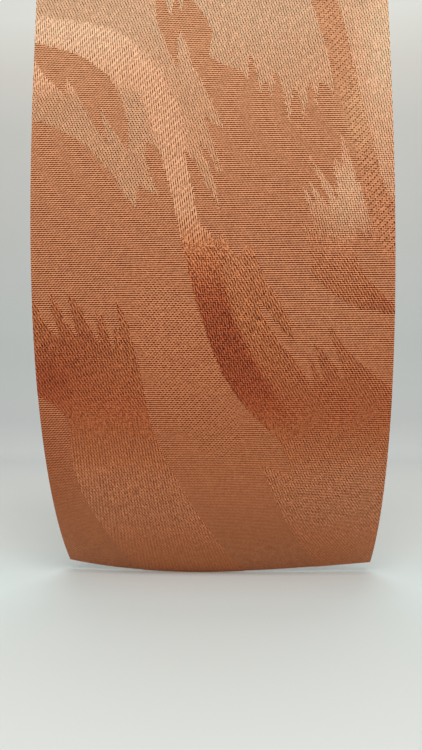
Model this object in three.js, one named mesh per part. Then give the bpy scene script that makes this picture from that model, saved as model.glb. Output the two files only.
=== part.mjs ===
// Vertical blind vane: a short length of stiffened jacquard cloth, cut square at both ends.
// It hangs by the middle of its top edge. The upper part is flat, and the lower end has kept the set of
// the roll: it curls back, more and more tightly towards its cut edge, and is slightly hollow behind.
// The woven figure of long warp floats stands a little above the ribbed ground.
//
// Frame: millimetres, +Z up, +X to the right as one faces the vane, front towards -Y.
// The origin is the middle of the top edge, half way through the cloth.

import * as THREE from 'three';

// Driving sizes, in millimetres and degrees
const VANE_WIDTH = 89;
const VANE_LENGTH = 200;
const GROUND_THICKNESS = 0.45;
const FIGURE_HEIGHT = 0.12;

// The curl, measured along the cloth up from the lower edge, and the angle that it has turned through there
const CURL_LENGTH = 152;
const CURL_ANGLE = 51;
const CURL_GROWTH = 1.9;

// The hollow across the width: its depth at the lower edge, and how much more it bends on one side
const CUP_DEPTH = 3.5;
const CUP_SKEW = 1.2;
const CUP_GROWTH = 1.7;

// Fineness of the facets
const ROW_SPACING = 4;
const COLUMN_SPACING = 12;
const CENTRELINE_STEPS = 400;

// Outlines of the woven figure on the flat cloth: [across from the middle, down from the top edge].
// They run on past the edges, so that a wider or longer vane shows more of the same cloth. A point where
// an outline turns back up or down is the sharp tip of a feather or the foot of a notch; the others lie
// on smooth stretches.
const MAIN_BAND = [
  [-66, -4], [-46, 6], [-27, 18], [-17, 32], [-14, 40], [-10.5, 54], [-7.6, 60],
  [-8, 48], [-6, 54], [-0.5, 66], [3.7, 76], [-1, 72], [2, 83], [3.1, 88], [-2.2, 80], [0.8, 90], [2.4, 98],
  [-2.5, 86], [-6, 80], [-3.7, 93], [-2.2, 100], [1.2, 104], [2.6, 102], [6.2, 108], [9.6, 104],
  [15.3, 115.5], [20.7, 128], [11, 118], [18, 129.5], [25, 140], [24, 135], [22.6, 130], [27.2, 138],
  [25, 128], [28, 131.5], [32.5, 138], [30.5, 130], [28.5, 124], [32, 128.5], [41, 137], [56, 150],
  [72, 160], [72, 250], [46, 250], [28, 200], [17.5, 175], [12.3, 160], [20.5, 164], [17, 154],
  [10.5, 147], [4.5, 139], [0, 129], [-4.5, 114], [-8.3, 97], [-10.8, 86], [-15.2, 78], [-15.4, 85],
  [-12.4, 92], [-17.5, 90], [-17.8, 98], [-20.5, 91.5], [-29.5, 80.2], [-44.5, 71.7], [-72, 66],
];
const GROUND_WEDGE = [
  [-47, 50], [-33, 54], [-25, 59], [-22, 66], [-20.2, 80], [-24.5, 74], [-26.8, 70], [-26.4, 73],
  [-25.2, 78], [-30, 70.5], [-35.8, 62], [-36.8, 66], [-42.5, 59],
];
const UPPER_BAND = [
  [-70, -16], [-39, 6], [-22.5, 18], [-13.8, 32], [-9.7, 46], [-8.8, 38], [-7, 44], [-6, 38],
  [0.3, 49], [0.4, 56], [9.5, 64], [10.4, 58], [12.5, 66], [13.6, 64], [14.8, 68], [16.4, 62],
  [18.3, 67], [19.6, 74], [21.2, 68], [22.8, 74], [24.6, 66], [26.2, 70], [27.6, 64], [30.4, 68],
  [29.2, 56], [25, 40], [19, 24], [8, 6], [-8, -16],
];
const EDGE_BAND = [
  [-2, -16], [14.5, 6], [25.5, 24], [31.5, 40], [35.5, 60], [39.4, 80], [46, 97], [72, 116], [72, -16],
];
const RIGHT_FEATHER = [
  [32.3, 78], [35.8, 89.5], [40.3, 106], [38.2, 102], [37.3, 106], [35.4, 102], [34.6, 106], [32.3, 104],
  [38, 113.3], [72, 124], [72, 128], [44.5, 121.4], [33, 119], [23.2, 110], [26.8, 112], [22.2, 100],
  [25.2, 102], [23.2, 94.5], [22.5, 92], [26.3, 98], [23.9, 90], [29.6, 98], [27.6, 91.5], [24.6, 84],
  [30.5, 94], [31, 89], [30.6, 84], [33.8, 90],
];
const LOWER_FEATHER = [
  [-72, 104], [-44.5, 119.5], [-37, 128], [-40.3, 116], [-34.8, 123.8], [-32.7, 126], [-35.3, 114],
  [-30, 124.5], [-27.6, 128], [-28, 120], [-24, 130], [-23.9, 124], [-22.3, 128], [-23, 118],
  [-18.6, 129.5], [-14.5, 152], [-7.5, 169], [7.5, 200], [32, 250], [8, 250], [-22, 200],
  [-34, 174.5], [-37.3, 160], [-37.2, 148], [-44.5, 141.5], [-72, 132],
];
const FIGURE = [MAIN_BAND, GROUND_WEDGE, UPPER_BAND, EDGE_BAND, RIGHT_FEATHER, LOWER_FEATHER];

// Levels through the cloth: its back, the front of the ground and the front of the figure
const BACK = 0;
const GROUND = 1;
const RAISED = 2;
const LEVEL_HEIGHTS = [-GROUND_THICKNESS / 2, GROUND_THICKNESS / 2, GROUND_THICKNESS / 2 + FIGURE_HEIGHT];

const HALF_WIDTH = VANE_WIDTH / 2;
const SAME_PLACE = 1e-6;

// Shape of the hanging cloth

// How far down the curl a place is: 0 where the flat part ends, 1 at the lower edge
function alongCurl(down) {
  return Math.max(0, (down - (VANE_LENGTH - CURL_LENGTH)) / CURL_LENGTH);
}

function curlAngle(down) {
  return THREE.MathUtils.degToRad(CURL_ANGLE) * alongCurl(down) ** CURL_GROWTH;
}

// Centreline of the curl from its side, with the flat part upright: the directions of short steps, added up
function makeCentreline() {
  const step = VANE_LENGTH / CENTRELINE_STEPS;
  const points = [new THREE.Vector2(0, 0)];
  for (let i = 0; i < CENTRELINE_STEPS; i += 1) {
    const angle = curlAngle((i + 0.5) * step);
    const last = points[i];
    points.push(new THREE.Vector2(last.x + step * Math.sin(angle), last.y - step * Math.cos(angle)));
  }
  return points;
}

const CENTRELINE = makeCentreline();

function onCentreline(down) {
  const position = (down / VANE_LENGTH) * CENTRELINE_STEPS;
  const i = Math.min(Math.floor(position), CENTRELINE_STEPS - 1);
  return CENTRELINE[i].clone().lerp(CENTRELINE[i + 1], position - i);
}

// A place on the cloth with its flat part upright. Height is measured forwards from the middle of the cloth.
function placeUpright(across, down, height) {
  const side = across / HALF_WIDTH;
  const growth = alongCurl(down) ** CUP_GROWTH;
  const cup = growth * (CUP_DEPTH * side ** 2 + CUP_SKEW * side * (1 - side ** 2));
  const slope = (2 * growth * CUP_DEPTH * side) / HALF_WIDTH;
  const angle = curlAngle(down);
  const middle = onCentreline(down);
  const back = cup - height;
  return new THREE.Vector3(
    across * (1 - slope ** 2 / 6),
    middle.x + back * Math.cos(angle),
    middle.y + back * Math.sin(angle),
  );
}

// The angle that brings the middle of the cloth's weight under its top edge
function plumbAngle() {
  const sum = new THREE.Vector3();
  for (let i = 0; i < CENTRELINE_STEPS; i += 1) {
    const down = ((i + 0.5) * VANE_LENGTH) / CENTRELINE_STEPS;
    for (const side of [-0.75, -0.25, 0.25, 0.75]) {
      sum.add(placeUpright(side * HALF_WIDTH, down, 0));
    }
  }
  return Math.atan2(sum.y, -sum.z);
}

const HANG = new THREE.Matrix4().makeRotationX(-plumbAngle());

function place(across, down, level) {
  return placeUpright(across, down, LEVEL_HEIGHTS[level]).applyMatrix4(HANG);
}

// Outlines cut into rows

// The stretches of a closed outline that run steadily down the cloth, each listed from its top to its foot
function stretchesOf(outline) {
  const edges = outline.map((start, i) => [start, outline[(i + 1) % outline.length]]);
  const directions = edges.map(([start, end]) => Math.sign(end[1] - start[1]));
  const first = directions.findIndex((direction, i) => direction !== directions.at(i - 1));
  const stretches = [];
  for (let k = 0; k < edges.length; k += 1) {
    const i = (first + k) % edges.length;
    if (directions[i] !== 0) {
      const isNew = k === 0 || directions[i] !== directions.at(i - 1);
      if (isNew) {
        stretches.push([edges[i][0]]);
      }
      stretches.at(-1).push(edges[i][1]);
    }
  }
  return stretches.map((points) => (points[0][1] < points.at(-1)[1] ? points : points.reverse()));
}

// Slope of a stretch at one of its points, across for each step down
function slopeAt(points, i) {
  const before = points[Math.max(i - 1, 0)];
  const after = points[Math.min(i + 1, points.length - 1)];
  return (after[0] - before[0]) / (after[1] - before[1]);
}

// Where a stretch crosses a row: a smooth cubic curve between its points
function acrossAt(points, down) {
  const found = points.findIndex((point) => point[1] >= down - SAME_PLACE);
  const end = Math.max(1, found === -1 ? points.length - 1 : found);
  const [x0, y0] = points[end - 1];
  const [x1, y1] = points[end];
  const span = y1 - y0;
  const t = THREE.MathUtils.clamp((down - y0) / span, 0, 1);
  const bend0 = slopeAt(points, end - 1) * span;
  const bend1 = slopeAt(points, end) * span;
  const across = (2 * t ** 3 - 3 * t ** 2 + 1) * x0 + (t ** 3 - 2 * t ** 2 + t) * bend0
    + (3 * t ** 2 - 2 * t ** 3) * x1 + (t ** 3 - t ** 2) * bend1;
  return THREE.MathUtils.clamp(across, -HALF_WIDTH, HALF_WIDTH);
}

// Sorted values without repeats, with others put between them wherever two lie far apart
function filled(values, spacing) {
  const sorted = [...values].sort((a, b) => a - b);
  const kept = sorted.filter((value, i) => i === 0 || value - sorted[i - 1] > SAME_PLACE);
  const result = [kept[0]];
  for (let i = 1; i < kept.length; i += 1) {
    const parts = Math.ceil((kept[i] - kept[i - 1]) / spacing);
    for (let part = 1; part <= parts; part += 1) {
      result.push(kept[i - 1] + ((kept[i] - kept[i - 1]) * part) / parts);
    }
  }
  return result;
}

const STRETCHES = FIGURE.flatMap(stretchesOf);
const TURNS = STRETCHES.flatMap((points) => [points[0][1], points.at(-1)[1]]);
const ROWS = filled([0, VANE_LENGTH, ...TURNS.filter((down) => down > 0 && down < VANE_LENGTH)], ROW_SPACING);

function crosses(points, top, foot) {
  return points[0][1] <= top + SAME_PLACE && points.at(-1)[1] >= foot - SAME_PLACE;
}

const FRONT_COLUMNS = ROWS.map((down) => {
  const crossing = STRETCHES.filter((points) => crosses(points, down, down));
  const places = crossing.map((points) => acrossAt(points, down));
  return filled([-HALF_WIDTH, ...places, HALF_WIDTH], COLUMN_SPACING);
});
const BACK_COLUMNS = ROWS.map((down, row) => {
  const isEnd = row === 0 || row === ROWS.length - 1;
  return isEnd ? FRONT_COLUMNS[row] : filled([-HALF_WIDTH, HALF_WIDTH], COLUMN_SPACING);
});

function isOnEdge(line, edge) {
  return Math.abs(line.top - edge) + Math.abs(line.foot - edge) < SAME_PLACE;
}

// Between two rows: the left edge and the lines that part ground from figure, from left to right, with the
// level on the right of each. Outlines past a side edge come out lying on it: those on the right edge are
// left out, and of those on the left edge only the last counts.
function bandBetween(row) {
  const [top, foot] = [ROWS[row], ROWS[row + 1]];
  const outlines = STRETCHES.filter((points) => crosses(points, top, foot))
    .map((points) => ({ top: acrossAt(points, top), foot: acrossAt(points, foot) }))
    .sort((a, b) => a.top + a.foot - b.top - b.foot);
  const lines = [{ top: -HALF_WIDTH, foot: -HALF_WIDTH }, ...outlines];
  lines.forEach((line, i) => {
    line.level = i % 2 === 0 ? GROUND : RAISED;
  });
  const firstInside = lines.findIndex((line) => !isOnEdge(line, -HALF_WIDTH));
  const leftEdge = firstInside === -1 ? lines.length - 1 : firstInside - 1;
  return lines.slice(leftEdge).filter((line) => !isOnEdge(line, HALF_WIDTH));
}

const BANDS = ROWS.slice(0, -1).map((down, row) => bandBetween(row));

// The level in a band, beside its top or foot row
function levelIn(row, end, across) {
  const band = BANDS[row];
  return band ? band.filter((line) => line[end] < across).at(-1).level : BACK;
}

// Mesh of the cloth

const positions = [];
const faces = [];
const corners = new Map();

function corner(row, across, level) {
  const key = `${row} ${across.toFixed(5)} ${level}`;
  if (!corners.has(key)) {
    corners.set(key, positions.length / 3);
    positions.push(...place(across, ROWS[row], level).toArray());
  }
  return corners.get(key);
}

function addFace(a, b, c, isTurned) {
  if (a !== b && b !== c && c !== a) {
    faces.push(...(isTurned ? [a, c, b] : [a, b, c]));
  }
}

// One level of cloth between a stretch of a row and the stretch of the next row below it
function addSheet(row, upper, lower, level) {
  const isBack = level === BACK;
  let i = 0;
  let j = 0;
  while (i < upper.length - 1 || j < lower.length - 1) {
    const upperNext = i < upper.length - 1 ? Math.abs(upper[i + 1] - lower[j]) : Infinity;
    const lowerNext = j < lower.length - 1 ? Math.abs(lower[j + 1] - upper[i]) : Infinity;
    const a = corner(row, upper[i], level);
    const b = corner(row + 1, lower[j], level);
    if (upperNext < lowerNext) {
      i += 1;
      addFace(a, b, corner(row, upper[i], level), isBack);
    } else {
      j += 1;
      addFace(a, b, corner(row + 1, lower[j], level), isBack);
    }
  }
}

// The step from one level to another across a line, each end of which is given as [row, across]. A line down
// the cloth has the first level on its left; a line along a row has the first level below it.
function addSteps(start, end, firstLevel, secondLevel) {
  const isTurned = firstLevel > secondLevel;
  for (let low = Math.min(firstLevel, secondLevel); low < Math.max(firstLevel, secondLevel); low += 1) {
    const [a, b] = [corner(...start, low), corner(...end, low)];
    const [c, d] = [corner(...end, low + 1), corner(...start, low + 1)];
    addFace(a, b, c, isTurned);
    addFace(a, c, d, isTurned);
  }
}

function within(columns, low, high) {
  return columns.filter((across) => across > low - SAME_PLACE && across < high + SAME_PLACE);
}

function addBand(row) {
  const band = BANDS[row];
  band.forEach((line, i) => {
    const next = band[i + 1] ?? { top: HALF_WIDTH, foot: HALF_WIDTH };
    const upper = within(FRONT_COLUMNS[row], line.top, next.top);
    const lower = within(FRONT_COLUMNS[row + 1], line.foot, next.foot);
    addSheet(row, upper, lower, line.level);
    addSteps([row, line.top], [row + 1, line.foot], band[i - 1]?.level ?? BACK, line.level);
  });
  addSheet(row, BACK_COLUMNS[row], BACK_COLUMNS[row + 1], BACK);
  addSteps([row, HALF_WIDTH], [row + 1, HALF_WIDTH], band.at(-1).level, BACK);
}

function addRowSteps(row) {
  const columns = FRONT_COLUMNS[row];
  for (let i = 1; i < columns.length; i += 1) {
    const middle = (columns[i - 1] + columns[i]) / 2;
    const below = levelIn(row, 'top', middle);
    const above = levelIn(row - 1, 'foot', middle);
    addSteps([row, columns[i - 1]], [row, columns[i]], below, above);
  }
}

ROWS.forEach((down, row) => {
  if (row < ROWS.length - 1) {
    addBand(row);
  }
  addRowSteps(row);
});

const geometry = new THREE.BufferGeometry();
geometry.setAttribute('position', new THREE.Float32BufferAttribute(positions, 3));
geometry.setIndex(faces);
geometry.computeVertexNormals();

const vane = new THREE.Mesh(
  geometry,
  new THREE.MeshStandardMaterial({ color: 0xb5764e, roughness: 0.62, metalness: 0 }),
);
vane.name = 'vane';

const group = new THREE.Group();
group.add(vane);

export default group;
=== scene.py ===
"""Looks of a vertical blind vane: a stiffened jacquard cloth, drawn thread by thread in its material.

Sizes are in millimetres in the tables and functions below, and become metres as a mesh is made.
Flat places on the cloth are given as across, from the middle to the right as seen from the front, and
down, from the top edge. Rows and columns in the tables are such places too: a rise or fall is given as
(where it is 0, where it is 1).
"""

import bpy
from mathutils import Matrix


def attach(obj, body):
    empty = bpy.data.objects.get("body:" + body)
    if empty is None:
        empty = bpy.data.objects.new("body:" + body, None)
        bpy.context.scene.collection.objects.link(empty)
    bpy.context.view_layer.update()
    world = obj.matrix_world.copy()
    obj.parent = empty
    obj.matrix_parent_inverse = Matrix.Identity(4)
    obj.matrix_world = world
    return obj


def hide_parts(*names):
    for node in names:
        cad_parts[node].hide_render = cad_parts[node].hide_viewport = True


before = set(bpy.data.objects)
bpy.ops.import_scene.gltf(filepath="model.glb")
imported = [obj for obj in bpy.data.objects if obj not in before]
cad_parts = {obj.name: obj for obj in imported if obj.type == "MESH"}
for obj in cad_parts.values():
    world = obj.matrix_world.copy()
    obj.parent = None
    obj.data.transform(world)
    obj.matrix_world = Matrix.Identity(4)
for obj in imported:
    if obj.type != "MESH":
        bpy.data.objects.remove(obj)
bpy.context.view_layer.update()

import math

import bpy
import numpy as np
from mathutils import Matrix, Vector

MM = 0.001

# Camera, from the outline of the vane in the photograph. Its sight begins and ends so many metres away.

CAMERA_PLACE = (7.748, -150.767, -142.723)
CAMERA_FORWARD = (-0.053204, 0.997390, 0.048813)
CAMERA_RIGHT = (0.998550, 0.053538, -0.005578)
CAMERA_LENS = 28.8
CAMERA_SENSOR = 36.0
CAMERA_SIGHT = (0.01, 30.0)


def make_camera():
    """A camera at the photograph's place, with its up direction square to its forward and right ones."""
    forward = Vector(CAMERA_FORWARD).normalized()
    right = Vector(CAMERA_RIGHT)
    right = (right - forward * right.dot(forward)).normalized()
    up = right.cross(forward)
    data = bpy.data.cameras.new("photo_camera")
    data.lens = CAMERA_LENS
    data.sensor_width = CAMERA_SENSOR
    data.clip_start, data.clip_end = CAMERA_SIGHT
    camera = bpy.data.objects.new("photo_camera", data)
    turn = Matrix((right, up, -forward)).transposed().to_4x4()
    camera.matrix_world = Matrix.Translation(Vector(CAMERA_PLACE) * MM) @ turn
    bpy.context.scene.collection.objects.link(camera)
    bpy.context.scene.camera = camera


make_camera()

# Sizes of the cloth and its curl, the same as those of the solid

VANE_WIDTH = 89.0
VANE_LENGTH = 200.0
GROUND_THICKNESS = 0.45
FIGURE_HEIGHT = 0.12
CURL_LENGTH = 152.0
CURL_ANGLE = math.radians(51)
CURL_GROWTH = 1.9
CUP_DEPTH = 3.5
CUP_SKEW = 1.2
CUP_GROWTH = 1.7
HALF_WIDTH = VANE_WIDTH / 2

# Outlines of the woven figure on the flat cloth, those of the solid with the feathers' tips drawn finer,
# as [across, down] points. A turn back up or down is the sharp tip of a feather or the foot of a notch.

MAIN_BAND = [
    [-66, -4], [-46, 6], [-27, 18], [-17, 32], [-14, 40], [-13, 46], [-11, 52], [-9.3, 56], [-7.6, 60],
    [-7.9, 54], [-7.6, 48.6], [-6.8, 50.5], [-5, 54], [-4.3, 58], [-1.2, 64], [0, 67], [1.3, 70],
    [4.1, 75.8], [2, 74.8], [-1.2, 72.2], [0.1, 76], [1.2, 80], [2.3, 83.5], [3.4, 87.6], [2, 86],
    [0.8, 83], [-0.6, 80.6], [-3.3, 78.8], [-1.4, 82], [0, 85], [0.8, 88], [1.7, 91], [2.3, 94.5],
    [2.6, 98.2], [1.6, 95.5], [0.8, 93], [-0.1, 90.5], [-1.3, 88.4], [-3.8, 83.5], [-6, 80.5], [-5.4, 84],
    [-4.8, 88], [-4, 91], [-3.2, 96], [-2, 100.2], [-0.4, 101], [1.2, 104], [2.6, 101.4], [6.2, 108],
    [9.6, 104], [13, 112.4], [15.3, 116], [18.4, 121.6], [20.8, 128.2], [17.2, 125], [14.4, 121],
    [10.6, 117.4], [14.2, 124], [17.4, 129], [21.4, 134], [25, 140.2], [24.8, 135.4], [22.4, 129.6],
    [25.2, 134], [27.2, 138.2], [26.6, 134], [24.8, 127.6], [27.2, 130.6], [29.8, 133.6], [32.6, 138.2],
    [31.8, 134], [30.2, 129.8], [28.3, 123.6], [31.6, 128.5], [35.5, 132.6], [41, 137.6], [56, 150],
    [72, 160], [72, 250], [46, 250], [28, 200], [17.5, 175], [12.3, 160], [20.5, 164], [17, 154],
    [10.5, 147], [4.5, 139], [0, 129], [-4.5, 114], [-6.7, 104], [-8.3, 97], [-9.5, 91], [-10.8, 86],
    [-12.2, 81.4], [-15.2, 78], [-15.8, 80.5], [-15.6, 84], [-14.2, 88], [-12.2, 92], [-14.6, 91],
    [-17.5, 89.2], [-17.9, 92], [-17.9, 95.6], [-19.6, 93], [-22.4, 89.6], [-25.3, 85], [-29.5, 80.2],
    [-36, 75.4], [-44.5, 71.7], [-72, 66],
]
GROUND_WEDGE = [
    [-47, 50], [-36, 53.4], [-32, 55.3], [-29, 57.6], [-26, 60], [-24, 63], [-22.5, 66], [-21, 70],
    [-20.2, 75], [-19.8, 81], [-21.4, 78], [-23, 76], [-24.6, 74.2], [-26, 71.6], [-27.1, 69],
    [-26.7, 72.4], [-26.1, 75], [-25, 79], [-27, 76], [-29, 73], [-30.6, 70], [-32, 67], [-34, 64],
    [-35.9, 60.4], [-36, 63.6], [-35.4, 66.4], [-38, 63.6], [-40, 61.6], [-42.5, 58.5], [-44.5, 55.5],
]
UPPER_BAND = [
    [-70, -16], [-39, 6], [-22.5, 18], [-13.8, 32], [-9.7, 46], [-8.8, 38], [-7, 44], [-6, 38], [0.5, 49],
    [0, 56], [1.6, 57.6], [4.2, 59], [8.2, 60.8], [9.2, 64.2], [9.8, 60.6], [10.3, 55.4], [11.2, 59.4],
    [12, 62.6], [12.7, 67], [13.4, 64], [13.9, 63.2], [14.5, 65], [15.1, 68.2], [15.7, 64], [16.2, 60.4],
    [17.3, 64], [18.4, 66.6], [19, 70], [19.6, 74], [20.3, 69.4], [20.9, 64.4], [21.9, 67.4], [22.3, 70.6],
    [22.9, 75], [23.8, 70], [24.7, 64.2], [25.6, 66.6], [26.3, 70.6], [26.8, 66.6], [27.5, 64],
    [29.3, 65.4], [30.5, 68.6], [30.5, 63], [29.2, 56], [25, 40], [19, 24], [8, 6], [-8, -16],
]
EDGE_BAND = [
    [-2, -16], [14.5, 6], [25.5, 24], [31.5, 40], [35.5, 60], [39.4, 80], [46, 97], [72, 116], [72, -16],
]
RIGHT_FEATHER = [
    [31.8, 77], [33.1, 81], [34.7, 85.4], [36, 90], [37.6, 95], [39.2, 100], [40.5, 105.4], [38.8, 103.4],
    [37.9, 101.2], [37.6, 104.4], [36.4, 102], [35.4, 99.8], [35.2, 105.4], [33.8, 104.4], [36.5, 111],
    [41, 116.4], [44.5, 119.2], [72, 126], [72, 128], [44.5, 121.6], [38, 120.6], [33, 119], [29, 116],
    [26, 113.4], [23.2, 110.6], [25.4, 110.4], [24.4, 107.6], [23.6, 103.6], [22, 98.6], [23.8, 100.4],
    [25.2, 102], [24.6, 98.6], [23.2, 94.6], [22.4, 90.4], [24.2, 92.6], [25.8, 96.4], [25.2, 93.4],
    [23.8, 88.6], [26, 91.4], [28.6, 96.6], [28.2, 92.6], [26.4, 88.8], [24, 82.6], [27, 87.2],
    [29.4, 90.6], [30.6, 94.4], [30.6, 90], [30, 83.2], [31, 84.8], [31.9, 86.4], [32, 83],
]
LOWER_FEATHER = [
    [-72, 100], [-44.5, 117.2], [-42.4, 121], [-40.4, 124], [-37.4, 127.2], [-38.7, 122], [-40.2, 115],
    [-37.6, 119], [-35.4, 123.6], [-32.9, 127], [-34.4, 121], [-35.6, 114.2], [-32.6, 119.4], [-30.2, 124],
    [-27.4, 128.2], [-28, 124.6], [-28.3, 120], [-26.4, 123.4], [-25.2, 126.6], [-24, 130], [-23.9, 123.4],
    [-22.4, 128], [-22.7, 123], [-23.1, 117.4], [-21.4, 120.8], [-20, 125], [-18.6, 130.6], [-14.5, 152],
    [-7.5, 169], [7.5, 200], [32, 250], [8, 250], [-22, 200], [-34, 174.5], [-37.3, 160], [-37.2, 148],
    [-44.5, 141.5], [-72, 132],
]
FIGURE = [MAIN_BAND, GROUND_WEDGE, UPPER_BAND, EDGE_BAND, RIGHT_FEATHER, LOWER_FEATHER]

# Half the width over which the raised figure climbs at its outline

RELIEF_SLOPE = 0.35

# Lines down the cloth between the kinds of weave, as (down, across) points, with half the width of each
# border and the rows between which the kind keeps

BOLD_LIMIT = [
    (43, -48), (44, -42), (45, -34), (46, -29), (48, -24), (50, -21), (53, -18), (56, -15), (60, -12),
    (64, -10), (68, -8), (74, -6.5), (80, -5), (90, -3), (98, 0), (106, 2.5), (112, 3), (118, 4.4),
    (124, 6.4), (130, 9), (136, 12.5), (142, 16), (150, 22),
]
BOLD_BORDER = 1.4
BOLD_ROWS = ((43, 45), (158, 144))
DOTTED_LIMIT = [
    (58, -22), (62, -19), (66, -17), (72, -15), (80, -12.5), (92, -10), (100, -12),
]
DOTTED_BORDER = 0.8
DOTTED_ROWS = ((62, 67), (100, 96))
TWILL_LIMIT = [
    (0, 0), (24, 20), (40, 25.5), (56, 29.6), (68, 31.5), (76, 34), (90, 36.5), (100, 39.5), (120, 46),
]
TWILL_BORDER = 1.0
TWILL_END = (112, 104)

# Low down and to the left, the bold weave stops short of the lower feather

LOWER_LEFT_ROWS = (100, 106)
LOWER_LEFT_COLUMNS = (-9, -12)

# The low twill fills a leaning oval, and fades out where the oval is between these two

LOW_TWILL_OVAL = (-6, 135, 15, 36, 0.35)
LOW_TWILL_BORDER = (0.1, 0.6)

# The picks show as ribs in the right feather, and the weave is looser towards the lower edge

RIBBED_COLUMNS = (14, 26)
RIBBED_ROWS = (74, 84)
LOOSE_ROWS = (152, 170)

# Tones, from 0 for the deepest of the yarn's colours to 1 for the palest, as (down, tone) points. Their
# course down the cloth is painted sheen and shade: the satin pale with painted sheen high up, deep with
# painted shade in the bend and paler again low down, the bold satin swinging further, and the ground darker
# with painted
# shade into the bend. The back is plain: its ground, and then its figure.

SATIN_TONES_AND_SHEEN = [
    (0, 0.76), (46, 0.74), (55, 0.7), (67, 0.66), (84, 0.62), (93, 0.63), (101, 0.5), (105, 0.435),
    (109, 0.44), (114, 0.415), (122, 0.402), (130, 0.348), (137, 0.295), (143, 0.262), (150, 0.285),
    (156, 0.37), (162, 0.44), (175, 0.462), (190, 0.405), (200, 0.395),
]
BOLD_TONES_AND_SHEEN = [
    (0, 0.83), (47, 0.82), (53, 0.765), (61, 0.69), (75, 0.67), (86, 0.655), (97, 0.63), (102, 0.5),
    (106, 0.415), (110, 0.34), (115, 0.235), (121, 0.175), (128, 0.16), (139, 0.16), (145, 0.21),
    (152, 0.29), (160, 0.42), (200, 0.41),
]
GROUND_TONES_AND_SHADE = [
    (0, 0.55), (50, 0.545), (60, 0.53), (87, 0.478), (100, 0.455), (110, 0.44), (120, 0.425), (135, 0.398),
    (150, 0.37), (165, 0.4), (185, 0.4), (192, 0.42), (200, 0.41),
]
BACK_TONES = (0.42, 0.66)

# Soft ovals where a tone or another number departs from its course down the cloth, as
# (change, middle across, middle down, half across, half down), and some with their lean

FIGURE_PATCHES = [
    (0.16, 43, 62, 10, 34), (0.11, 33, 92, 11, 14), (0.035, 10, 40, 24, 34), (-0.03, -38, 66, 12, 9),
    (-0.10, 41, 120, 8, 4), (-0.10, -34, 127, 16, 15), (-0.09, -42, 137, 9, 10), (0.08, 34, 101, 9, 7),
    (0.02, 41, 160, 20, 30),
]
GROUND_PATCHES = [(0.11, 38, 72, 8, 16), (0.02, 32, 122, 18, 22), (-0.09, -44, 163, 14, 26)]
CONTRAST_PATCHES = [(0.3, 10, 46, 26, 24)]
FEATHERED_PATCHES = [
    (1.3, -2, 82, 9, 26, 0.3), (1.3, 19, 66, 14, 9), (1.3, 30, 92, 11, 17, 0.2), (1.3, -31, 121, 16, 9),
    (1.3, 20, 120, 24, 20, 0.8), (1.3, -25, 82, 14, 20, 0.6),
]

# Where the figure's colour is redder, and how much its red, green and blue are multiplied there

WARM_PATCHES = [(1.5, 43, 66, 15, 52), (1.0, 32, 90, 12, 13), (0.7, 10, 40, 26, 34)]
WARM_ROWS = ((152, 160), (192, 182))
LOW_WARMTH = 0.3
WARMING = (1.14, 0.97, 0.95)

# Colours of the yarns from the deepest tone to the palest, as they are seen, with the cream of the painted
# sheen at the pale end and painted shade at the deep end

FIGURE_COLOURS = [
    (0.0, (114, 33, 11)), (0.2, (157, 75, 40)), (0.4, (183, 107, 64)), (0.6, (200, 138, 99)),
    (0.8, (223, 170, 134)), (1.0, (252, 208, 172)),
]
GROUND_COLOURS = [
    (0.0, (110, 36, 15)), (0.2, (151, 77, 44)), (0.4, (176, 105, 67)), (0.6, (193, 138, 98)),
    (0.8, (224, 167, 129)), (1.0, (250, 208, 172)),
]

# Contrast of the weave down the cloth, and its share on the back

FIGURE_CONTRASTS = [
    (0, 1.38), (50, 1.42), (94, 1.45), (99, 1.6), (104, 2.1), (108, 2.0), (112, 1.85), (118, 2.1),
    (124, 2.2), (130, 1.8), (137, 1.35), (143, 1.0), (149, 1.15), (156, 1.6), (163, 1.8), (175, 1.8),
    (184, 0.9), (192, 0.6), (200, 0.6),
]
GROUND_CONTRASTS = [
    (0, 1.37), (60, 1.42), (87, 1.78), (100, 1.9), (110, 1.98), (125, 1.8), (135, 1.48), (150, 1.24),
    (165, 0.85), (175, 0.5), (184, 0.6), (192, 0.95), (200, 0.95),
]
BACK_STRENGTH = 0.55

# How far the figure's bound places are dark (above 0) or bright (below 0) down the cloth. This is painted
# sheen: high and low, where the floats are painted with sheen, their bound places are dark, and in the
# bend, where the sheen is painted out, they are bright.

BINDINGS = [
    (0, 1.0), (102, 1.0), (108, -0.7), (140, -0.75), (148, 0.2), (155, 1.0), (200, 1.0),
]

# Smoothing of the tables that run down the cloth

SMOOTHING = 8.0
TABLE_STEPS = 2000

# The weave's step from a colour, in linear light: its reach times the colour raised to the growth, up to a
# limit where threads are all bright or gaps all dark. The step is partly the threads' own colours and
# partly painted shade in the gaps and painted highlight on the floats.

WEAVE_REACH = 0.425
REACH_GROWTH = 0.8
WEAVE_LIMIT = 1.8
DARKEST = (0.01, 0.003, 0.001)
PALEST = (0.95, 0.9, 0.85)

# Spacing of the warp ends and of the picks

END = 0.1658
PICK = 0.5222

# Fineness of the surface, and the distance up to which an outline counts

COLUMN_SPACING = 0.36
ROW_SPACING = 1.05
CENTRELINE_STEPS = 400
FAR_FROM_OUTLINE = 1.2

# Middles of four equal strips of the cloth, where its sides are at -1 and 1

STRIP_MIDDLES = np.array([[-0.75], [-0.25], [0.25], [0.75]])


def along_curl(down):
    """How far down the curl a place is: 0 where the flat part ends, 1 at the lower edge."""
    return np.maximum(0, (down - (VANE_LENGTH - CURL_LENGTH)) / CURL_LENGTH)


def curl_angle(down):
    """The full angle times the share of the curl, raised to its growth."""
    return CURL_ANGLE * along_curl(down) ** CURL_GROWTH


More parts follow.
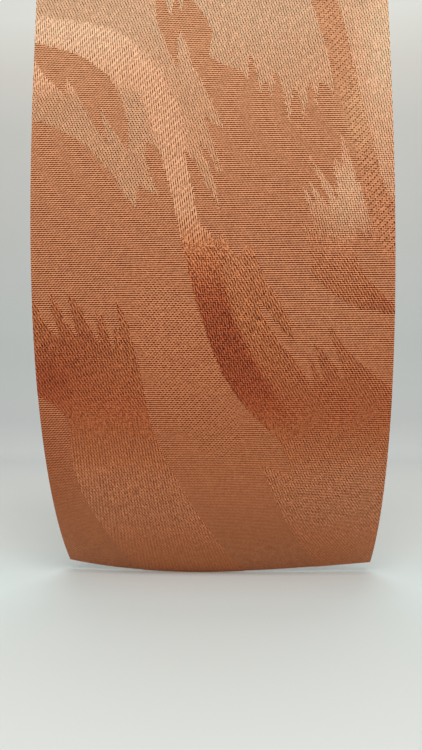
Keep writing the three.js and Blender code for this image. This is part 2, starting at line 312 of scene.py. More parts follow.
def centreline(down):
    """The middle of the cloth from its side: short steps in the direction of the curl's angle, added up."""
    step = VANE_LENGTH / CENTRELINE_STEPS
    angles = curl_angle((np.arange(CENTRELINE_STEPS) + 0.5) * step)
    places = np.arange(CENTRELINE_STEPS + 1) * step
    back = np.concatenate([[0], np.cumsum(step * np.sin(angles))])
    up = np.concatenate([[0], -np.cumsum(step * np.cos(angles))])
    return np.interp(down, places, back), np.interp(down, places, up)


def place_upright(across, down, height):
    """The curl's centreline, moved back by the cup across the width and forwards by the height.

    The cup is its growth down the curl times depth times side squared, plus skew times side times one less
    side squared, where side runs from -1 to 1 across the cloth. A place across comes nearer to the middle
    by a sixth of the squared slope of the cup, because the cloth's width is measured along its arc.
    """
    side = across / HALF_WIDTH
    growth = along_curl(down) ** CUP_GROWTH
    cup = growth * (CUP_DEPTH * side**2 + CUP_SKEW * side * (1 - side**2))
    slope = 2 * growth * CUP_DEPTH * side / HALF_WIDTH
    angle = curl_angle(down)
    back, up = centreline(down)
    behind = cup - height
    return across * (1 - slope**2 / 6), back + behind * np.cos(angle), up + behind * np.sin(angle)


def plumb_angle():
    """The angle that brings the middle of the cloth's weight under its top edge, from four strips of it."""
    down = (np.arange(CENTRELINE_STEPS) + 0.5) * VANE_LENGTH / CENTRELINE_STEPS
    sides = STRIP_MIDDLES * HALF_WIDTH
    _, back, up = place_upright(sides + 0 * down, down + 0 * sides, 0)
    return math.atan2(back.sum(), -up.sum())


def place(across, down, height):
    """Places on the hanging cloth, in metres: the upright ones turned by the plumb angle about the top."""
    x, y, z = place_upright(across, down, height)
    angle = plumb_angle()
    turned_y = y * math.cos(angle) + z * math.sin(angle)
    turned_z = z * math.cos(angle) - y * math.sin(angle)
    return np.stack([x, turned_y, turned_z], -1) * MM


def stretches_of(outline):
    """The parts of a closed outline that run steadily down the cloth, each from its top down."""
    points = np.array(outline, float)
    ways = np.sign(np.roll(points[:, 1], -1) - points[:, 1])
    starts = [i for i in range(len(points)) if ways[i] != ways[i - 1]]
    stretches = []
    for start, end in zip(starts, starts[1:] + [starts[0] + len(points)]):
        if ways[start] != 0:
            part = points[np.arange(start, end + 1) % len(points)]
            stretches.append(part if ways[start] > 0 else part[::-1])
    return stretches


def across_at(stretch, down):
    """Where a stretch crosses each row, and nowhere outside it.

    Between two points it is the cubic through both that has at each the slope between that point's own
    neighbours.
    """
    x, y = stretch[:, 0], stretch[:, 1]
    before = np.maximum(np.arange(len(y)) - 1, 0)
    after = np.minimum(np.arange(len(y)) + 1, len(y) - 1)
    slopes = (x[after] - x[before]) / (y[after] - y[before])
    end = np.clip(np.searchsorted(y, down), 1, len(y) - 1)
    span = y[end] - y[end - 1]
    t = np.clip((down - y[end - 1]) / span, 0, 1)
    found = (
        (2 * t**3 - 3 * t**2 + 1) * x[end - 1]
        + (t**3 - 2 * t**2 + t) * slopes[end - 1] * span
        + (3 * t**2 - 2 * t**3) * x[end]
        + (t**3 - t**2) * slopes[end] * span
    )
    return np.where((down >= y[0]) & (down < y[-1]), found, np.nan)


def into_figure(across, down):
    """Distance across the cloth to the nearest outline, above 0 inside the figure.

    across and down are the places of the columns and rows. The outlines to the left of a place are counted:
    after an odd number of them it is inside.
    """
    crossings = [across_at(stretch, down) for outline in FIGURE for stretch in stretches_of(outline)]
    nearest = np.full((len(down), len(across)), FAR_FROM_OUTLINE)
    count = np.zeros(nearest.shape, int)
    for crossing in crossings:
        gap = across[None, :] - crossing[:, None]
        nearest = np.fmin(nearest, np.abs(gap))
        count += gap > 0
    return np.where(count % 2 == 1, nearest, -nearest)


def ease(value, low, high):
    """0 below low and 1 above high, with a smooth rise between them. low may be the higher of the two."""
    t = np.clip((value - low) / (high - low), 0, 1)
    return t * t * (3 - 2 * t)


def between(value, rise, fall):
    """0 before a rise, 1 after it and 0 again after a fall."""
    return ease(value, *rise) * ease(value, *fall)


def listed(points, down):
    """Values read from a short table of (down, value) points, with smooth turns at the points."""
    downs, values = np.array(points, float).T
    fine = np.linspace(downs[0] - SMOOTHING, downs[-1] + SMOOTHING, TABLE_STEPS)
    straight = np.interp(fine, downs, values)
    window = np.hanning(round(SMOOTHING / (fine[1] - fine[0])))
    ends = np.pad(straight, len(window), mode="edge")
    smooth = np.convolve(ends, window / window.sum(), mode="same")[len(window):-len(window)]
    return np.interp(down, fine, smooth)


def oval(across, down, middle_across, middle_down, half_across, half_down, lean=0.0):
    """A soft oval: e to the power of minus twice the squared distance from its middle.

    The distance is counted in the oval's halves, and its middle moves across by the lean for each mm down.
    """
    aside = (across - middle_across - lean * (down - middle_down)) / half_across
    below = (down - middle_down) / half_down
    return np.exp(-2 * (aside**2 + below**2))


def patches(table, across, down):
    """The soft ovals of a table, each times its change, added up."""
    return sum(change * oval(across, down, *shape) for change, *shape in table)


def weave_kinds(across, down):
    """How far the weave is bold or dotted, from 0 to 1, and twill: up to 1 high up, down to -1 low down."""
    bold = ease(across - listed(BOLD_LIMIT, down), BOLD_BORDER, -BOLD_BORDER) * between(down, *BOLD_ROWS)
    bold *= 1 - ease(down, *LOWER_LEFT_ROWS) * ease(across, *LOWER_LEFT_COLUMNS)
    dotted = ease(across - listed(DOTTED_LIMIT, down), DOTTED_BORDER, -DOTTED_BORDER)
    dotted *= between(down, *DOTTED_ROWS)
    twill = ease(across - listed(TWILL_LIMIT, down), -TWILL_BORDER, TWILL_BORDER) * ease(down, *TWILL_END)
    twill -= ease(oval(across, down, *LOW_TWILL_OVAL), *LOW_TWILL_BORDER)
    return bold * (1 - dotted), dotted, np.clip(twill, -1, 1)


def feathering(across, down):
    """How far the figure's outline is drawn out in fine streaks, from 0 to 1."""
    return np.clip(patches(FEATHERED_PATCHES, across, down), 0, 1)


def figure_tone_and_sheen(across, down, bold):
    """The figure's tone: its course down the cloth, painted sheen high up and painted shade in the bend,
    which swings further where its floats are long.
    """
    satin = listed(SATIN_TONES_AND_SHEEN, down)
    return satin + bold * (listed(BOLD_TONES_AND_SHEEN, down) - satin) + patches(FIGURE_PATCHES, across, down)


def figure_warmth(across, down):
    """How far the figure's colour is redder, from 0 to 1.

    It is so a little in a broad band low down, and more in the edge band, the right feather and the middle
    of the upper band.
    """
    low = between(down, *WARM_ROWS) * LOW_WARMTH
    return np.clip(low + patches(WARM_PATCHES, across, down), 0, 1)


def ground_tone_and_shade(across, down):
    """The ground's tone down the cloth, darker with painted shade into the bend, deeper at its lower left
    and paler beside the edge band.
    """
    return listed(GROUND_TONES_AND_SHADE, down) + patches(GROUND_PATCHES, across, down)


# Mesh of the cloth


def steps(length, spacing):
    """How many even steps of about one spacing make up a length."""
    return round(length / spacing)


def cloth_side(across, down, is_front):
    """Corners and fields of one face of the cloth, as rows of columns.

    The back is flat, and its weave is that of the front turned over: ground behind the figure, and figure
    behind the ground.
    """
    wide, long = np.meshgrid(across, down)
    inside = into_figure(across, down)
    bold, dotted, twill = weave_kinds(wide, long)
    if is_front:
        height = GROUND_THICKNESS / 2 + FIGURE_HEIGHT * ease(inside, -RELIEF_SLOPE, RELIEF_SLOPE)
        tones = ground_tone_and_shade(wide, long), figure_tone_and_sheen(wide, long, bold), figure_warmth(wide, long)
        binding = listed(BINDINGS, long)
        strength = 1.0
    else:
        height = np.full(wide.shape, -GROUND_THICKNESS / 2)
        tones = [np.full(wide.shape, tone) for tone in (*BACK_TONES, 0.0)]
        binding = np.ones(wide.shape)
        strength = BACK_STRENGTH
        inside = -inside
    ground_contrast = listed(GROUND_CONTRASTS, long) * strength
    figure_contrast = (listed(FIGURE_CONTRASTS, long) + patches(CONTRAST_PATCHES, wide, long)) * strength
    ribbed = ease(wide, *RIBBED_COLUMNS) * ease(long, *RIBBED_ROWS)
    fields = {
        "flat_place": (wide, long, binding),
        "weave": (inside, bold, dotted),
        "kinds": (twill, feathering(wide, long), ribbed),
        "tones": tones,
        "contrasts": (ground_contrast, figure_contrast, ease(long, *LOOSE_ROWS)),
    }
    corners = place(wide, long, height).reshape(-1, 3)
    return corners, {name: np.stack(values, -1).reshape(-1, 3) for name, values in fields.items()}


def rim_loop(grid):
    """Indices of a grid's corners round its rim: along the top, down the right, along the foot and up."""
    return np.concatenate([grid[0, :-1], grid[:-1, -1], grid[-1, :0:-1], grid[:0:-1, 0]])


def cloth_faces(rows, columns):
    """Faces of the front, the back and the cut edges, on the front's corners and then the back's."""
    each = rows * columns
    grid = np.arange(each).reshape(rows, columns)
    upper_left, upper_right = grid[:-1, :-1].ravel(), grid[:-1, 1:].ravel()
    lower_left, lower_right = grid[1:, :-1].ravel(), grid[1:, 1:].ravel()
    front = np.stack([upper_left, lower_left, lower_right, upper_right], -1)
    back = np.stack([upper_left, upper_right, lower_right, lower_left], -1) + each
    rim = rim_loop(grid)
    rim_next = np.roll(rim, -1)
    return front, back, np.stack([rim, rim_next, rim_next + each, rim + each], -1)


# The map that a bake uses: its margin, the width of one face of the cloth in it, the start of the back, and
# the sides of the strip that holds the cut edges

BAKE_MARGIN = 0.01
BAKE_WIDTH = 0.48
BAKE_BACK = 0.5
BAKE_EDGES = (0.495, 0.505)


def spread_for_baking(mesh, shares, front_faces, back_faces, rim_count):
    """A UV map with the front in its left half, the back in its right half, and the cut edges between.

    shares are the places of a face's corners, each from 0 to 1 from the left and from the foot.
    """
    height = 1 - 2 * BAKE_MARGIN
    front = BAKE_MARGIN + shares[front_faces] * (BAKE_WIDTH, height)
    back = BAKE_MARGIN + shares[back_faces] * (BAKE_WIDTH, height) + (BAKE_BACK, 0)
    start = BAKE_MARGIN + np.arange(rim_count) / rim_count * height
    end = start + height / rim_count
    sides = np.tile(np.repeat(BAKE_EDGES, 2), (rim_count, 1))
    rim = np.stack([sides, np.stack([start, end, end, start], -1)], -1)
    spread = np.concatenate([front, back, rim]).astype(np.float32)
    mesh.uv_layers.new(name="OFBake").data.foreach_set("uv", spread.ravel())


def fill_mesh(mesh, corners, faces):
    """Puts corners and four-sided faces into an empty mesh."""
    mesh.vertices.add(len(corners))
    mesh.vertices.foreach_set("co", corners.ravel())
    mesh.loops.add(faces.size)
    mesh.loops.foreach_set("vertex_index", faces.ravel())
    mesh.polygons.add(len(faces))
    mesh.polygons.foreach_set("loop_start", np.arange(0, faces.size, 4))
    mesh.polygons.foreach_set("loop_total", np.full(len(faces), 4))
    mesh.update(calc_edges=True)
    mesh.validate()


def sharpen_rim(mesh, rim_faces):
    """Marks as sharp each edge whose two corners both lie on the rim."""
    on_rim = np.zeros(len(mesh.vertices), bool)
    on_rim[rim_faces] = True
    ends = np.empty(2 * len(mesh.edges), np.int32)
    mesh.edges.foreach_get("vertices", ends)
    mesh.edges.foreach_set("use_edge_sharp", on_rim[ends.reshape(-1, 2)].all(1))


def make_cloth():
    """The closed cloth: a front and a back on the same grid of flat places, and the cut edges between."""
    across = np.linspace(-HALF_WIDTH, HALF_WIDTH, steps(VANE_WIDTH, COLUMN_SPACING) + 1)
    down = np.linspace(0, VANE_LENGTH, steps(VANE_LENGTH, ROW_SPACING) + 1)
    front_corners, front_fields = cloth_side(across, down, True)
    back_corners, back_fields = cloth_side(across, down, False)
    front_faces, back_faces, rim_faces = cloth_faces(len(down), len(across))
    faces = np.concatenate([front_faces, back_faces, rim_faces])
    mesh = bpy.data.meshes.new("vane_cloth")
    fill_mesh(mesh, np.concatenate([front_corners, back_corners]), faces)
    is_rim = np.arange(len(faces)) >= len(faces) - len(rim_faces)
    mesh.polygons.foreach_set("material_index", is_rim.astype(np.int32))
    mesh.polygons.foreach_set("use_smooth", ~is_rim)
    for name in front_fields:
        values = np.concatenate([front_fields[name], back_fields[name]]).astype(np.float32)
        mesh.attributes.new(name, "FLOAT_VECTOR", "POINT").data.foreach_set("vector", values.ravel())
    from_left, from_foot = np.meshgrid(across / VANE_WIDTH + 0.5, 1 - down / VANE_LENGTH)
    shares = np.stack([from_left, from_foot], -1).reshape(-1, 2)
    spread_for_baking(mesh, shares, front_faces, back_faces - len(front_corners), len(rim_faces))
    sharpen_rim(mesh, rim_faces)
    cloth = bpy.data.objects.new("vane_cloth", mesh)
    bpy.context.scene.collection.objects.link(cloth)
    return cloth


# Materials. A Mix node has its colours in these two sockets, and its mixed colour in this output.

MIX_COLOURS = (6, 7)
MIX_RESULT = 2


class Value:
    """A number in a material, held by the socket that gives it. Arithmetic on it adds Math nodes."""

    def __init__(self, finish, socket):
        self.finish = finish
        self.socket = socket

    def __add__(self, other):
        return self.finish.math("ADD", self, other)

    def __sub__(self, other):
        return self.finish.math("SUBTRACT", self, other)

    def __rsub__(self, other):
        return self.finish.math("SUBTRACT", other, self)

    def __mul__(self, other):
        return self.finish.math("MULTIPLY", self, other)

    __radd__ = __add__
    __rmul__ = __mul__


class Finish:
    """A material and its nodes."""

    def __init__(self, name):
        self.material = bpy.data.materials.new(name)
        self.material.use_nodes = True
        self.material.node_tree.nodes.clear()

    def node(self, kind, settings=None, sockets=None):
        """Adds a node of a kind. Its settings come first, and then the values or links of its sockets."""
        made = self.material.node_tree.nodes.new("ShaderNode" + kind)
        for name, setting in (settings or {}).items():
            if name == "stops":
                set_stops(made.color_ramp, setting)
            else:
                setattr(made, name, setting)
        for name, value in (sockets or {}).items():
            if isinstance(value, Value):
                self.material.node_tree.links.new(value.socket, made.inputs[name])
            else:
                made.inputs[name].default_value = value
        return made

    def out(self, made, name=0):
        """A node's output as a value."""
        return Value(self, made.outputs[name])

    def math(self, operation, *values):
        """A Math node's result for one or two numbers."""
        return self.out(self.node("Math", {"operation": operation}, dict(enumerate(values))))

    def vector(self, operation, first, second):
        """A Vector Math node's result for two colours, or for a colour and the number that scales it."""
        second_socket = "Scale" if operation == "SCALE" else 1
        sockets = {0: first, second_socket: second}
        return self.out(self.node("VectorMath", {"operation": operation}, sockets))

    def ease(self, value, low, high):
        """0 below low and 1 above high, with a smooth rise between them."""
        sockets = {"Value": value, "From Min": low, "From Max": high}
        return self.out(self.node("MapRange", {"interpolation_type": "SMOOTHSTEP"}, sockets))

    def blend(self, share, first, second):
        """first where share is 0, second where it is 1."""
        return first + share * (second - first)

    def mix(self, share, first, second):
        """The first colour where share is 0, the second where it is 1."""
        first_socket, second_socket = MIX_COLOURS
        sockets = {0: share, first_socket: first, second_socket: second}
        return self.out(self.node("Mix", {"data_type": "RGBA"}, sockets), MIX_RESULT)

    def ramp(self, place, colours):
        """The colour at a place in a short table of (place, colour) points."""
        stops = [(place, linear(colour)) for place, colour in colours]
        return self.out(self.node("ValToRGB", {"stops": stops}, {"Fac": place}), "Color")

    def wave(self, turns):
        """From -1 to 1 and back once in each whole number of turns, 1 at the whole number."""
        return self.math("COSINE", turns * (2 * math.pi))

    def fields(self, name):
        """The three numbers of one of the mesh's own fields."""
        field = self.out(self.node("Attribute", {"attribute_name": name}), "Vector")
        parts = self.node("SeparateXYZ", None, {"Vector": field})
        return [self.out(parts, axis) for axis in "XYZ"]

    def cells(self, across, down):
        """A fixed chance number from -0.5 to 0.5 for each cell of a grid of ones."""
        where = self.node("CombineXYZ", None, {
            "X": self.math("FLOOR", across), "Y": self.math("FLOOR", down),
        })
        made = self.node("TexWhiteNoise", {"noise_dimensions": "2D"}, {"Vector": self.out(where)})
        return self.out(made) - 0.5

    def noise(self, across, down, detail=2.0):
        """Soft noise from -0.5 to 0.5 at a place that is already scaled."""
        where = self.node("CombineXYZ", None, {"X": across, "Y": down})
        sockets = {"Vector": self.out(where), "Scale": 1.0, "Detail": detail}
        return self.out(self.node("TexNoise", {"noise_dimensions": "2D"}, sockets)) - 0.5

    def bump(self, height, depth, strength=1.0):
        """A normal that leans with a height, whose step from 0 to 1 is depth deep in mm."""
        sockets = {"Strength": strength, "Distance": depth * MM, "Height": height}
        return self.out(self.node("Bump", None, sockets))

    def surface(self, colour, roughness, gloss, normal=None):
        """Ends the material in one plain surface, and gives the material."""
        sockets = {"Base Color": colour, "Roughness": roughness, "Specular IOR Level": gloss}
        if normal:
            sockets["Normal"] = normal
        made = self.node("BsdfPrincipled", None, sockets)
        self.node("OutputMaterial", None, {"Surface": self.out(made)})
        return self.material


def set_stops(ramp, stops):
    """Stops of a colour ramp, each with its place and its colour in linear light."""
    while len(ramp.elements) > 1:
        ramp.elements.remove(ramp.elements[-1])
    ramp.elements[0].position, ramp.elements[0].color = stops[0]
    for position, colour in stops[1:]:
        ramp.elements.new(position).color = colour


def linear(colour):
    """A colour of 0 to 255, as a screen shows it, in linear light and with an alpha of 1."""
    shares = [part / 255 for part in colour]
    return tuple(s / 12.92 if s <= 0.04045 else ((s + 0.055) / 1.055) ** 2.4 for s in shares) + (1.0,)


# Counts of repeats for each mm across and down. A long repeat of ten ends binds each end three picks below
# the one before. The fine repeat of five ends is half as long.

LONG_REPEAT = np.array([1 / (10 * END), 3 / (10 * PICK)])
FINE_REPEAT = 2 * LONG_REPEAT
PICKS = np.array([0, 1 / PICK])
FINE_COLUMNS = 2 * FINE_REPEAT - PICKS
WAVES = {
    "long": LONG_REPEAT,
    "long_twill": LONG_REPEAT - PICKS,
    "long_columns": 3 * LONG_REPEAT - PICKS,
    "fine": FINE_REPEAT,
    "fine_twill": FINE_REPEAT - PICKS,
    "fine_columns": FINE_COLUMNS,
    "picks": PICKS,
}

# Each kind of weave as a sum of waves, with the strength of each in tone. Where the waves of a satin agree
# a warp end is bound under a pick.

WEAVES = {
    "bold_satin": {"long": 0.24, "fine_twill": 0.26, "long_columns": 1.0, "fine_columns": 0.60},
    "fine_satin": {"fine": 0.32, "fine_twill": 0.66, "fine_columns": 1.70, "picks": 0.50},
    "dotted_satin": {"fine": 1.05, "fine_twill": 0.80, "fine_columns": 1.90, "picks": 1.5},
    "ribs": {"fine": 0.70, "fine_twill": 0.18},
    "even_ribs": {"fine": 0.26, "fine_twill": 0.25},
    "twill": {"long": 0.28, "long_twill": 0.30, "fine": 0.36, "fine_twill": 0.26, "long_columns": 0.34},
    "low_twill": {"long": 0.15, "long_twill": 0.28, "fine": 0.60, "fine_twill": 0.40},
}

# Ribs of the picks in each weave, partly painted relief shade between the picks, how far they lag behind a
# pick, and the columns between which those of the plain ground even out

RIB_LAG = 0.3
RIB_STRENGTH = 1.4
TWILL_RIB_STRENGTH = 0.63
LOW_TWILL_RIB_STRENGTH = 1.05
FEATHER_RIB_STRENGTH = 1.1
EVEN_RIB_COLUMNS = (-25, 10)

# Where its bound places turn bright, the figure is painted without its sheen: dull, it shows its picks as
# painted relief shade, and its twill

DULL_BINDINGS = (0.8, -0.4)
DULL_RIB_SHADE_STRENGTH = 0.6
DULL_TWILL_STRENGTH = 0.45

# Chance in the marks of the satin, and the shares of satin and ribs that are lost where the weave is loose

CHANCE_IN_MARKS = 0.8
LOOSE_SATIN_LOSS = 0.3
LOOSE_RIB_LOSS = 0.4

# Grain of single threads: its cells, and its strength in the figure and the ground, with what is added in
# the dull figure, in the loose weave and in the twill

GRAIN_WIDTH = 0.25
GRAINS_IN_A_PICK = 2.0
FIGURE_GRAIN = 1.2
DULL_GRAIN = 0.4
LOOSE_GRAIN = 0.3
GROUND_GRAIN = 0.7
TWILL_GRAIN = 0.3

# Streaks of thicker and thinner yarn, as counts for each mm across and down, and their strength

WARP_STREAKS = (2.4, 0.7)
WARP_STREAK_STRENGTH = 1.1
WEFT_STREAKS = (0.3, 1.9)
WEFT_STREAK_STRENGTH = 0.8

# Ragged outline of the figure: cells of half a mm and a pick that step in or out, and leaning streaks
# that draw the feathers out, as counts for each mm across and down

TEETH_PER_MM = 2.0
TOOTH_DEPTH = 0.45
STREAK_LEAN = 0.35
OUTLINE_STREAKS = (1.6, 0.12)
STREAK_DEPTH = 2.4
OUTLINE_SOFTNESS = 0.08

# Shine and relief of the threads

GROUND_ROUGHNESS = 0.65
FIGURE_ROUGHNESS = 0.5
CLOTH_GLOSS = 0.15
THREAD_DEPTH = 0.02

# Cut edge: its middle tone and the spread of tones, its shine, and the depth of its yarn ends

EDGE_TONE = 0.65
EDGE_SPREAD = 0.6
EDGE_ROUGHNESS = 0.75
EDGE_GLOSS = 0.3
EDGE_DEPTH = 0.1
EDGE_STRENGTH = 0.8


def turns(count, across, down):
    """How many repeats lie between the origin and a place."""
    return across * float(count[0]) + down * float(count[1])


def weave_sum(waves, kind):
    """The waves of a kind of weave, each times its strength, added up."""
    first, *others = [waves[name] * strength for name, strength in WEAVES[kind].items()]
    return sum(others, first)


def figure_share(finish, across, down, inside, feathered):
    """1 in the figure and 0 in the ground, with ragged outlines: steps at the picks, and streaks."""
    teeth = finish.cells(across * TEETH_PER_MM, turns(PICKS, across, down))
    streaks = finish.noise(
        (across - down * STREAK_LEAN) * OUTLINE_STREAKS[0], down * OUTLINE_STREAKS[1]
    )
    ragged = inside + teeth * TOOTH_DEPTH + feathered * streaks * STREAK_DEPTH
    return finish.ease(ragged, -OUTLINE_SOFTNESS, OUTLINE_SOFTNESS)


def figure_marks(finish, across, down, binding, bold, dotted, loose, waves):
    """The satin's marks, one to a cell of its repeat, dark or bright by the binding and by chance."""
    fine = finish.blend(dotted, weave_sum(waves, "fine_satin"), weave_sum(waves, "dotted_satin"))
    satin = finish.blend(bold, fine, weave_sum(waves, "bold_satin"))
    half_turn = 0.5
    chance = finish.cells(
        turns(FINE_COLUMNS, across, down) + half_turn, turns(FINE_REPEAT, across, down) + half_turn
    )
    return satin * (binding + chance * CHANCE_IN_MARKS) * (1 - loose * LOOSE_SATIN_LOSS)


def ground_weave_of(finish, across, twill, waves, ribs):
    """The ground's weave, and how far it is the high twill.

    It has ribs where it is plain, a high twill beside the edge band, and a low twill between the lower
    feather and the main band.
    """
    high = finish.math("MAXIMUM", twill, 0)
    low = finish.math("MAXIMUM", 0 - twill, 0)
    evenness = finish.ease(across, *EVEN_RIB_COLUMNS)
    plain = finish.blend(evenness, weave_sum(waves, "ribs"), weave_sum(waves, "even_ribs"))
    plain = plain + ribs * RIB_STRENGTH
    high_twill = ribs * TWILL_RIB_STRENGTH - weave_sum(waves, "twill")
    low_twill = ribs * LOW_TWILL_RIB_STRENGTH - weave_sum(waves, "low_twill")
    return finish.blend(low, finish.blend(high, plain, high_twill), low_twill), high


def threads_colour(finish, dyed, weave):
    """The dyed colour moved by the weave's step, partly painted shade in the gaps and painted highlight on
    the floats, and kept between the darkest and the palest thread.
    """
    step = finish.math("TANH", weave * (1 / WEAVE_LIMIT)) * (WEAVE_REACH * WEAVE_LIMIT)
    reach = finish.out(finish.node("Gamma", None, {"Color": dyed, "Gamma": REACH_GROWTH}), "Color")
    colour = finish.vector("ADD", dyed, finish.vector("SCALE", reach, step))
    return finish.vector("MINIMUM", finish.vector("MAXIMUM", colour, DARKEST), PALEST)


def make_cloth_finish():
    """Jacquard cloth: warp floats, bound at a satin's marks, as the figure, and weft ribs as the ground."""
    finish = Finish("jacquard_cloth")
    across, down, binding = finish.fields("flat_place")
    inside, bold, dotted = finish.fields("weave")
    twill, feathered, ribbed = finish.fields("kinds")
    ground_tone_here, figure_tone_here, warm = finish.fields("tones")
    ground_contrast, figure_contrast, loose = finish.fields("contrasts")
    picks = turns(PICKS, across, down)
    waves = {name: finish.wave(turns(count, across, down)) for name, count in WAVES.items()}
    ribs = finish.wave(picks - RIB_LAG)
    figure = figure_share(finish, across, down, inside, feathered)

    # dull: where the floats' sheen is painted out, in the bend
    dull = finish.ease(binding, *DULL_BINDINGS)
    across_picks = ribs * (dull * DULL_RIB_SHADE_STRENGTH + ribbed * FEATHER_RIB_STRENGTH)
    dull_twill = waves["fine_twill"] * dull * DULL_TWILL_STRENGTH
    marks = figure_marks(finish, across, down, binding, bold, dotted, loose, waves)
    grain = finish.cells(across * (1 / GRAIN_WIDTH), picks * GRAINS_IN_A_PICK)
    grain = grain * (dull * DULL_GRAIN + loose * LOOSE_GRAIN + FIGURE_GRAIN)
    warp_streaks = finish.noise(across * WARP_STREAKS[0], down * WARP_STREAKS[1]) * WARP_STREAK_STRENGTH
    figure_weave = (across_picks + dull_twill - marks + grain + warp_streaks) * figure_contrast

    ground_weave, high_twill = ground_weave_of(finish, across, twill, waves, ribs)
    half_cell = 0.5
    long_grain = finish.cells(across * (1 / GRAIN_WIDTH) + half_cell, picks)
    long_grain = long_grain * (high_twill * TWILL_GRAIN + GROUND_GRAIN)
    weft_streaks = finish.noise(across * WEFT_STREAKS[0], down * WEFT_STREAKS[1]) * WEFT_STREAK_STRENGTH
    ground_weave = ground_weave * (1 - loose * LOOSE_RIB_LOSS)
    ground_weave = (ground_weave + long_grain + weft_streaks) * ground_contrast
    weave = finish.blend(figure, ground_weave, figure_weave)

    # The tone holds painted sheen and painted shade down the cloth
    tone = finish.blend(figure, ground_tone_here, figure_tone_here)
    figure_colour = finish.ramp(tone, FIGURE_COLOURS)
    figure_colour = finish.mix(warm, figure_colour, finish.vector("MULTIPLY", figure_colour, WARMING))
    dyed = finish.mix(figure, finish.ramp(tone, GROUND_COLOURS), figure_colour)
    roughness = finish.blend(figure, GROUND_ROUGHNESS, FIGURE_ROUGHNESS)
    colour = threads_colour(finish, dyed, weave)
    return finish.surface(colour, roughness, CLOTH_GLOSS, finish.bump(weave, THREAD_DEPTH))


def make_edge_finish():
    """Cut edge: the pale ends of the yarns in their stiffener."""
    finish = Finish("cut_edge")
    across, down, _ = finish.fields("flat_place")
    ends = finish.noise(across * (1 / END), down * (1 / PICK), detail=1.0)
    colour = finish.ramp(EDGE_TONE + ends * EDGE_SPREAD, FIGURE_COLOURS)
    return finish.surface(colour, EDGE_ROUGHNESS, EDGE_GLOSS, finish.bump(ends, EDGE_DEPTH, EDGE_STRENGTH))


cloth = make_cloth()
cloth.data.materials.append(make_cloth_finish())
cloth.data.materials.append(make_edge_finish())
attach(cloth, "root")
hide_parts("vane")

# Stage: a pale floor that turns up into a pale wall behind the vane

FLOOR_LEVEL = -191.5
FOLD_MIDDLE = 360.0
FOLD_RADIUS = 120.0
STAGE_HALF_WIDTH = 4000.0
STAGE_FRONT = -5000.0
WALL_TOP = 3000.0
FOLD_STEPS = 24

# The stage's paper, as (mm along it from the start of its fold, colour), below 0 on the floor and above 0
# up the wall, and its shine. Its colours are painted light and shade: pale at the front of the floor,
# dimmer behind the vane and darkest near the fold, paler again up the wall, and a painted cool tint in
# front of the vane's foot against the red light bounced off the vane.

PAPER_COLOURS_AND_SHADE = [
    (-500, (226, 229, 227)), (-395, (216, 224, 222)), (-359, (214, 225, 224)), (-332, (207, 215, 214)),
    (-293, (207, 210, 207)), (-230, (207, 209, 206)), (41, (206, 209, 207)), (93, (194, 197, 196)),
    (164, (198, 202, 200)), (196, (203, 207, 205)), (291, (204, 205, 203)), (417, (208, 207, 203)),
    (480, (217, 214, 208)), (543, (228, 228, 223)),
]
PAPER_ROUGHNESS = 0.8
PAPER_GLOSS = 0.2


def make_paper():
    """Pale paper, whose colour changes along it as painted light and shade."""
    finish = Finish("pale_paper")
    first, last = PAPER_COLOURS_AND_SHADE[0][0], PAPER_COLOURS_AND_SHADE[-1][0]
    along = finish.out(finish.node("Attribute", {"attribute_name": "along"}), "Fac")
    colours = [((place - first) / (last - first), colour) for place, colour in PAPER_COLOURS_AND_SHADE]
    colour = finish.ramp((along - first) * (1 / (last - first)), colours)
    return finish.surface(colour, PAPER_ROUGHNESS, PAPER_GLOSS)


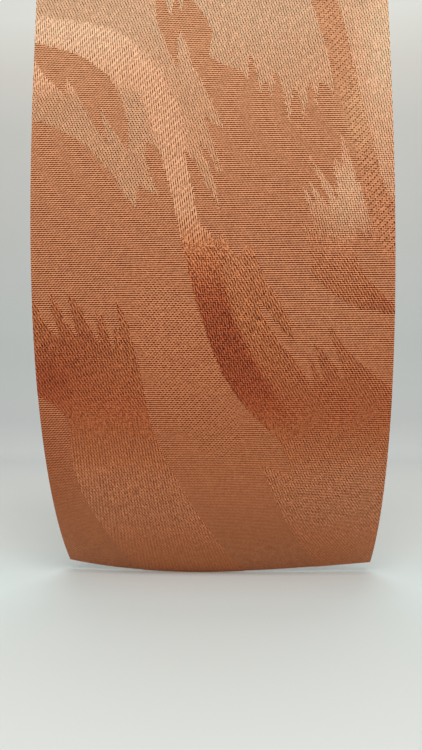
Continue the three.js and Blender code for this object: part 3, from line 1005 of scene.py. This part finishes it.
def make_stage():
    """A strip of floor, a quarter circle and a wall: one profile carried straight across."""
    angles = np.linspace(0, math.pi / 2, FOLD_STEPS + 1)
    fold_y = FOLD_MIDDLE + FOLD_RADIUS * np.sin(angles)
    fold_z = FLOOR_LEVEL + FOLD_RADIUS * (1 - np.cos(angles))
    y = np.concatenate([[STAGE_FRONT], fold_y, [FOLD_MIDDLE + FOLD_RADIUS]])
    z = np.concatenate([[FLOOR_LEVEL], fold_z, [WALL_TOP]])
    left = np.stack([np.full(len(y), -STAGE_HALF_WIDTH), y, z], -1)
    right = left * (-1, 1, 1)
    row = np.arange(len(y) - 1)
    faces = np.stack([row, row + len(y), row + len(y) + 1, row + 1], -1)
    mesh = bpy.data.meshes.new("stage")
    mesh.from_pydata((np.concatenate([left, right]) * MM).tolist(), [], faces.tolist())
    mesh.polygons.foreach_set("use_smooth", np.ones(len(faces), bool))
    lengths = np.concatenate([[STAGE_FRONT - FOLD_MIDDLE], angles * FOLD_RADIUS])
    lengths = np.append(lengths, lengths[-1] + WALL_TOP - fold_z[-1])
    mesh.attributes.new("along", "FLOAT", "POINT").data.foreach_set("value", np.tile(lengths, 2))
    mesh.materials.append(make_paper())
    stage = bpy.data.objects.new("stage", mesh)
    bpy.context.scene.collection.objects.link(stage)


make_stage()


def make_lamp(name, where, target, size, power, colour):
    """A soft lamp of a width and height at a place, facing a target. Its power is in watts."""
    data = bpy.data.lights.new(name, "AREA")
    data.shape = "RECTANGLE"
    data.size, data.size_y = (side * MM for side in size)
    data.energy = power
    data.color = colour
    lamp = bpy.data.objects.new(name, data)
    away = Vector(where) - Vector(target)
    turn = away.to_track_quat("Z", "Y").to_matrix().to_4x4()
    lamp.matrix_world = Matrix.Translation(Vector(where) * MM) @ turn
    bpy.context.scene.collection.objects.link(lamp)


make_lamp(
    "front_lamp", where=(60, -620, 620), target=(0, 0, -80), size=(600, 350), power=7.4,
    colour=(1.0, 0.985, 0.96),
)
make_lamp(
    "overhead_lamp", where=(0, 240, 800), target=(0, 0, -190), size=(900, 500), power=1.9,
    colour=(1.0, 1.0, 1.0),
)

# Soft light of the room all round

ROOM_COLOUR = (0.34, 0.35, 0.355, 1)
ROOM_STRENGTH = 1.0

world = bpy.data.worlds.new("soft_room")
world.use_nodes = True
background = world.node_tree.nodes["Background"]
background.inputs["Color"].default_value = ROOM_COLOUR
background.inputs["Strength"].default_value = ROOM_STRENGTH
bpy.context.scene.world = world
bpy.context.scene.view_settings.view_transform = "Standard"
